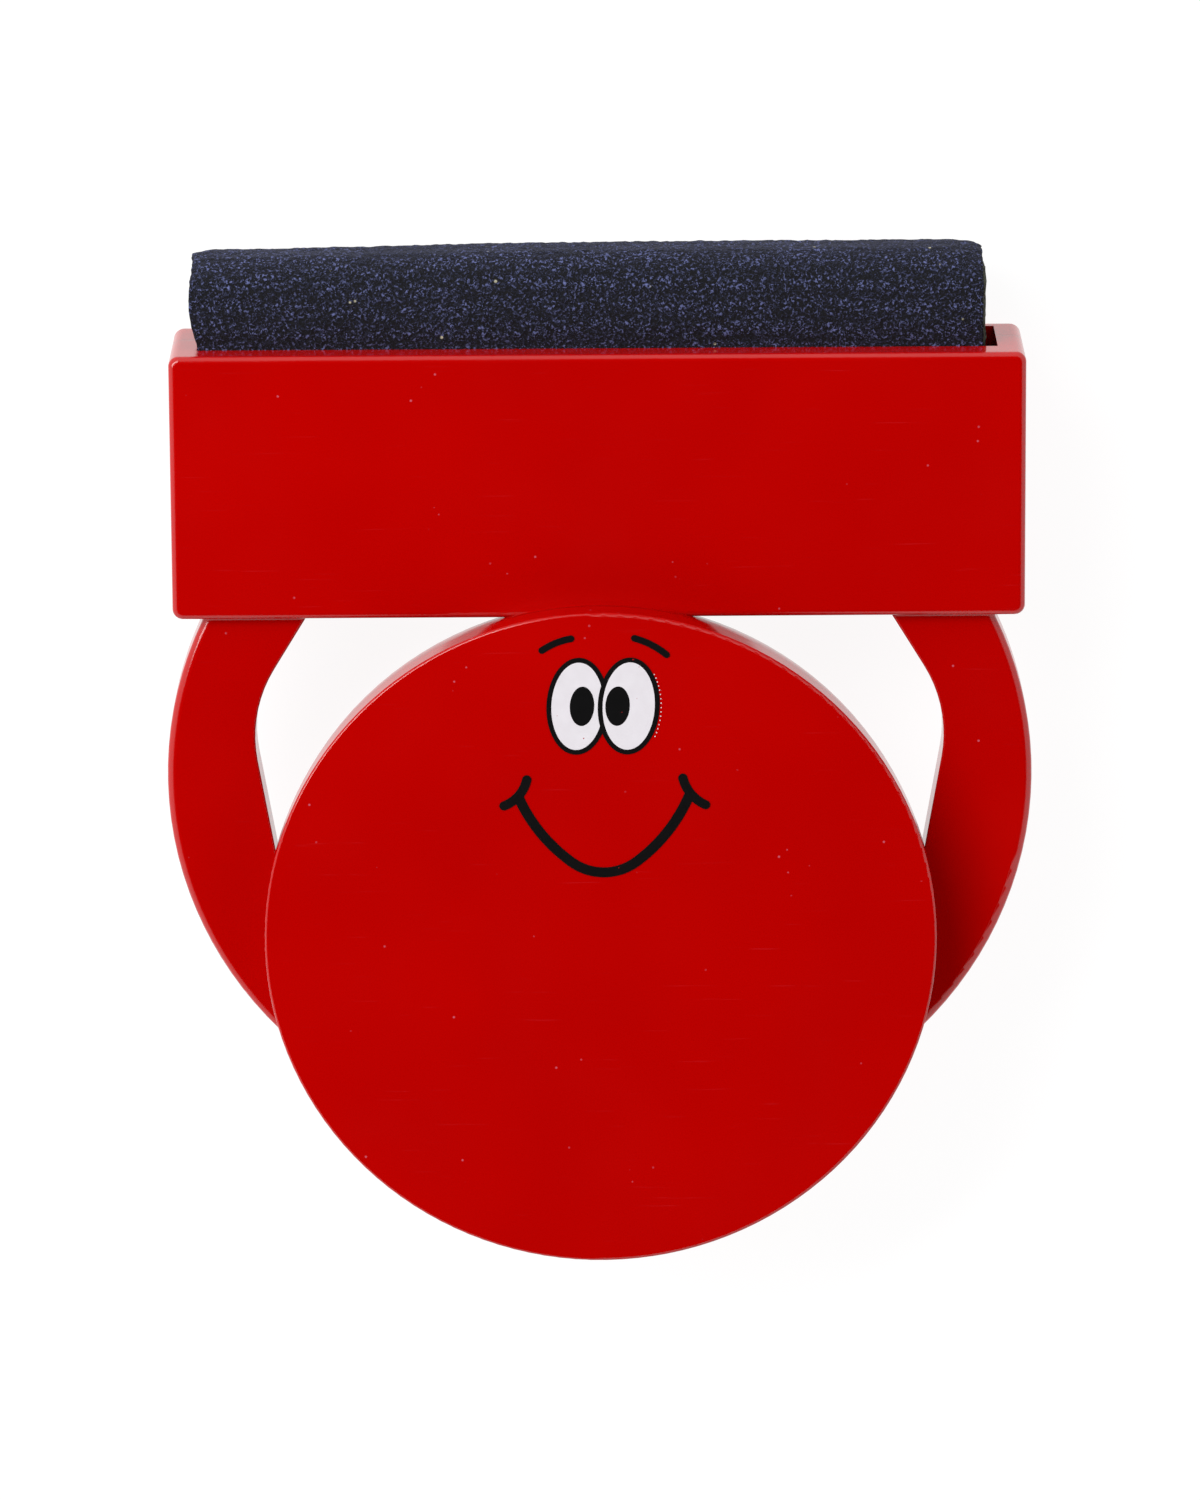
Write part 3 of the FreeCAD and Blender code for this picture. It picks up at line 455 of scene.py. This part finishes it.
# %% Cut the ends and the bottom open
LEFT_END = cover_low.x
RIGHT_END = cover_high.x - 0.90 * MM
FOAM_END = cover_high.x - 0.50 * MM
BOTTOM_CUT = cover_low.y + 0.05 * MM
CUT_SLOP = 0.25 * MM
BOW_LENGTH = 6 * MM
BOW_TOP = 0.25 * MM
BOW_MIDDLE = 0.8 * MM
CUTS = [
    (Vector((LEFT_END, 0, 0)), Vector((-1, 0, 0))),
    (Vector((RIGHT_END, 0, 0)), Vector((1, 0, 0))),
    (Vector((0, BOTTOM_CUT, 0)), Vector((0, -1, 0))),
]
sheet = bmesh.new()
sheet.from_mesh(cover.data)
for point, outward in CUTS:
    bmesh.ops.bisect_plane(sheet, geom=sheet.verts[:] + sheet.edges[:] + sheet.faces[:], dist=CUT_SLOP,
                           plane_co=point, plane_no=outward, clear_outer=True)
bmesh.ops.recalc_face_normals(sheet, faces=sheet.faces)
middle = (cover_low.z + cover_high.z) / 2
lean = sum(f.normal.z * (f.calc_center_median().z - middle) for f in sheet.faces)
if lean < 0:
    bmesh.ops.reverse_faces(sheet, faces=sheet.faces)
for v in sheet.verts:
    at_left = eased(LEFT_END + BOW_LENGTH, LEFT_END, v.co.x) if v.co.x > LEFT_END else 1
    rise = min(max((v.co.y - trough_top) / (cover_high.y - trough_top), 0), 1)
    v.co.x -= at_left * free_part(v.co.y) * (BOW_TOP + BOW_MIDDLE * math.sin(math.pi * rise))
sheet.to_mesh(cover.data)
sheet.free()
print("open sheet:", len(cover.data.polygons), "faces")

# %% Smooth the sheet and give it its thickness
smooth = cover.modifiers.new("Subdivision", "SUBSURF")
smooth.levels = smooth.render_levels = 2
apply_modifiers(cover)
outer_count = len(cover.data.vertices)
thicken = cover.modifiers.new("Solidify", "SOLIDIFY")
thicken.thickness = CLOTH
thicken.offset = -1
apply_modifiers(cover)
print("cover:", len(cover.data.polygons), "faces,", outer_count, "points on its outer side")

# %% [markdown]
# ### Loops and rows in the real mesh
# Relief drawn only in the material leaves a perfectly clean outline, which cloth never has. The outer
# side's points are therefore moved in and out along their normals by a noise the size of the loops,
# and by shallow wavy rows. Blender's noise depends only on the place, so each run gives the same cloth.

# %% Raise the loops
LOOP_SIZE = 0.9 * MM
LOOP_HEIGHT = 0.10 * MM
ROW_PITCH = 2.6 * MM
ROW_DEPTH = 0.06 * MM
ROW_SWAY_SIZE = 7 * MM
HELD_LOOPS = 0.35


def loop_height(point):
    nub = noise.noise(point / LOOP_SIZE) + 0.6 * noise.noise(point / (0.5 * LOOP_SIZE))
    sway = noise.noise(Vector((point.x, 0.3 * point.y, 0)) / ROW_SWAY_SIZE)
    row = math.cos(2 * math.pi * ((point.y - point.z) / ROW_PITCH + 0.9 * sway))
    return LOOP_HEIGHT * nub - ROW_DEPTH * max(row, 0) ** 3


normals = [v.normal.copy() for v in cover.data.vertices]
for v in list(cover.data.vertices)[:outer_count]:
    calm = HELD_LOOPS + (1 - HELD_LOOPS) * free_part(v.co.y)
    v.co += normals[v.index] * loop_height(v.co) * calm
for polygon in cover.data.polygons:
    polygon.use_smooth = True
cover.data.materials.clear()
cover.data.materials.append(navy_cloth)
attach(cover, "pad")
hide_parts("cloth_cover")
print("loops raised on", outer_count, "points")

# %% [markdown]
# ## The foam block
# The foam fills the cover and shows at its two open ends. It could be left as the CAD block, but a
# sawn foam end is never flat: its cells are torn open. The block is made as the cover was, follows the
# same droop, and its end faces are roughened by up to a fifth of a millimetre.

# %% Foam block
foam_low, foam_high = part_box("foam_core")
EASE = 0.12 * MM
FOAM_VOXEL = 0.8 * MM
TORN = 0.2 * MM
TORN_SIZE = 0.9 * MM
shape = crowned_box(foam_low + Vector((0.15 * MM, 0.05 * MM, EASE)),
                    Vector((FOAM_END, foam_high.y - 0.3 * MM, foam_high.z - EASE)), CROWN - CLOTH)
block = new_piece("foam_block", shape)
remesh(block, FOAM_VOXEL)
ends = 0
for v in block.data.vertices:
    v.co = settled(v.co)
    if v.co.x < foam_low.x + 0.6 * MM or v.co.x > FOAM_END - 0.4 * MM:
        v.co.x += TORN * noise.noise(v.co / TORN_SIZE)
        ends += 1
for polygon in block.data.polygons:
    polygon.use_smooth = True
block.data.materials.clear()
block.data.materials.append(foam)
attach(block, "pad")
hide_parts("foam_core")
print("foam:", len(block.data.polygons), "faces,", ends, "points roughened at its ends")

# %% [markdown]
# ## A row of ink dots
# Beside one eye the printing left a curved row of tiny white dots. Each is a flat drop of ink under a
# fifth of a millimetre across, so a low cone of eight sides is enough for it. They stand on an ellipse
# a little larger than the eye's outline.

# %% Ink dots
EYE_HALF_WIDTH = 3.63 * MM
DOTS = 16
FIRST_TURN = math.radians(-34)
TURN_STEP = math.radians(4.6)
RING_HALF_WIDTH = 4.38 * MM
RING_HALF_HEIGHT = 6.6 * MM
DOT_DEPTH = 0.05 * MM
eye_low, eye_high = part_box("eye_white_print")
ink_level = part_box("face_line_print")[0].z
eye_middle = Vector((eye_high.x - EYE_HALF_WIDTH, (eye_low.y + eye_high.y) / 2, ink_level + 0.02 * MM))
dots = bmesh.new()
for count in range(DOTS):
    turn = FIRST_TURN + count * TURN_STEP
    at = eye_middle + Vector((RING_HALF_WIDTH * math.cos(turn), RING_HALF_HEIGHT * math.sin(turn), 0))
    bmesh.ops.create_cone(dots, cap_ends=True, segments=8, radius1=0.08 * MM, radius2=0.06 * MM,
                          depth=DOT_DEPTH, matrix=Matrix.Translation(at))
bmesh.ops.recalc_face_normals(dots, faces=dots.faces)
ink_dots = new_piece("ink_dots", dots)
ink_dots.data.materials.append(white_ink)
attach(ink_dots, "body")
print("ink dots:", DOTS)

# %% [markdown]
# ## Floor, light and camera
# The eraser lies on a white light table, which is why its shadow is so faint. Glossy red plastic shows
# whatever it faces: a lamp right above would put a grey veil on the lid, so the sky is dark overhead
# and bright towards the horizon, as in a tent of white cloth with an opening for the camera. A
# long soft box at the upper left makes that side brighter and draws the thin line on the lid's edge.

# %% Floor
FLOOR_SIZE = 1.5
FLOOR_GAP = 0.3 * MM
ground = bmesh.new()
bmesh.ops.create_grid(ground, x_segments=1, y_segments=1, size=FLOOR_SIZE)
bmesh.ops.translate(ground, vec=Vector((0, 0, -FLOOR_GAP)), verts=ground.verts)
floor = new_piece("floor", ground)
light_table, tree, shader, place = start_material("white_light_table", 0.9, 1.5)
shader.inputs["Base Color"].default_value = linear("#626262")
shader.inputs["Specular IOR Level"].default_value = 0.0
shader.inputs["Emission Color"].default_value = linear("#FFFFFF")
shader.inputs["Emission Strength"].default_value = 0.92
floor.data.materials.append(light_table)
print("floor:", FLOOR_SIZE, "m to each side")

# %% Sky and soft box
world = bpy.data.worlds.new("white_tent")
scene.world = world
world.use_nodes = True
tree = world.node_tree
sky = tree.nodes["Background"]
sky.inputs["Color"].default_value = linear("#FFFFFF")
direction = add_node(tree, "ShaderNodeTexCoord", {}, {}).outputs["Generated"]
up = add_node(tree, "ShaderNodeSeparateXYZ", {}, {0: direction})
tent = add_node(tree, "ShaderNodeMapRange",
                {"From Min": 0.80, "From Max": 0.60, "To Min": 0.0, "To Max": 1.3},
                {"Value": up.outputs["Z"]})
tree.links.new(tent.outputs[0], sky.inputs["Strength"])
lamp_data = bpy.data.lights.new("soft_box", "AREA")
lamp_data.shape = "RECTANGLE"
lamp_data.size = 0.9
lamp_data.size_y = 0.35
lamp_data.energy = 9.4
lamp = bpy.data.objects.new("soft_box", lamp_data)
facing = Vector((-0.55, 0.42, 0.68))
along = Vector((0.66, 0.65, 0.14)).normalized()
across = facing.normalized().cross(along).normalized()
lamp.matrix_world = Matrix((along, across, along.cross(across))).transposed().to_4x4()
lamp.location = facing
scene.collection.objects.link(lamp)
print("soft box:", lamp_data.size, "x", round(lamp_data.size_y, 2), "m,", round(facing.length, 2), "m away")

# %% Camera
TILT = math.radians(14.5)
ROLL = math.radians(-0.346)
AIM = Vector((0.05, 23.15, 24.45)) * MM
DISTANCE = 1.0542
camera_data = bpy.data.cameras.new("camera")
camera_data.sensor_fit = "VERTICAL"
camera_data.sensor_height = 36
camera_data.lens = 216
camera = bpy.data.objects.new("camera", camera_data)
camera.location = AIM + Vector((0, math.sin(TILT), math.cos(TILT))) * DISTANCE
turned = Matrix.Rotation(-TILT, 4, "X") @ Matrix.Rotation(ROLL, 4, "Z")
camera.rotation_euler = turned.to_euler()
scene.collection.objects.link(camera)
scene.camera = camera
scene.view_settings.view_transform = "Standard"
print("camera:", round(math.degrees(TILT), 1), "degrees from straight above")
